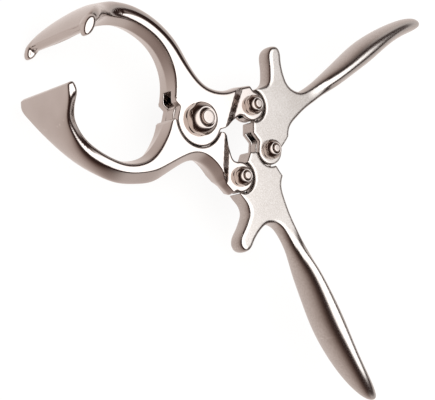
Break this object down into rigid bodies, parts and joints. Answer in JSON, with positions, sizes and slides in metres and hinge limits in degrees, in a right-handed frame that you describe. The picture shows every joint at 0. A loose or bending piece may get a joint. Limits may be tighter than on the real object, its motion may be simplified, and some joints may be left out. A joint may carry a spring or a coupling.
{
  "type": "bloodless castrating pincers",
  "caption": "Compound-lever livestock pincers with ring-shaped jaws that close on a wide blunt edge, toggle-linked handles with swelling grips, held by domed bolts and hexagon nuts.",
  "frame": {"origin": "centre of the bounding box of the whole tool with its jaws fully open, at its lowest point, which is the rear stop lug of the upper jaw", "axes": "+X from the jaws towards the handles, +Y towards the upper jaw and upper handle, +Z along the pivots towards the side with the nuts"},
  "size_m": [0.2102, 0.2044, 0.0512],
  "materials": {
    "jaw_plate": "nickel plated, polished front and back faces, satin side walls",
    "handle_plate": "nickel plated, fine satin grain",
    "fastener_plate": "bright nickel plated"
  },
  "bodies": {
    "upper_jaw": {"upper_jaw": "jaw_plate", "jaw_bolt": "fastener_plate", "jaw_bolt_nut": "fastener_plate", "upper_link_bolt": "fastener_plate", "upper_link_nut": "fastener_plate"},
    "lower_jaw": {"lower_jaw": "jaw_plate", "lower_link_bolt": "fastener_plate", "lower_link_nut": "fastener_plate"},
    "upper_handle": {"upper_handle": "handle_plate", "handle_bolt": "fastener_plate", "handle_nut": "fastener_plate"},
    "lower_handle": {"lower_handle": "handle_plate"}
  },
  "joints": [
    {"name": "upper_link_pivot", "type": "hinge", "parent": "upper_jaw", "child": "upper_handle", "pos_m": [0.00175, 0.01775, 0.0256], "axis": [0, 0, -1], "range_deg": [0, 30.07]},
    {"name": "jaw_pivot", "type": "hinge", "parent": "upper_jaw", "child": "lower_jaw", "pos_m": [-0.02825, 0, 0.0256], "axis": [0, 0, -1], "range_deg": [0, 16.7]},
    {"name": "lower_link_pivot", "type": "hinge", "parent": "lower_jaw", "child": "lower_handle", "pos_m": [0.00175, -0.01775, 0.0256], "axis": [0, 0, 1], "range_deg": [0, 30.07]}
  ],
  "couplings": [
    {"joint": "jaw_pivot", "follows": "upper_link_pivot", "ratio": 0.5553},
    {"joint": "lower_link_pivot", "follows": "upper_link_pivot", "ratio": 1}
  ]
}
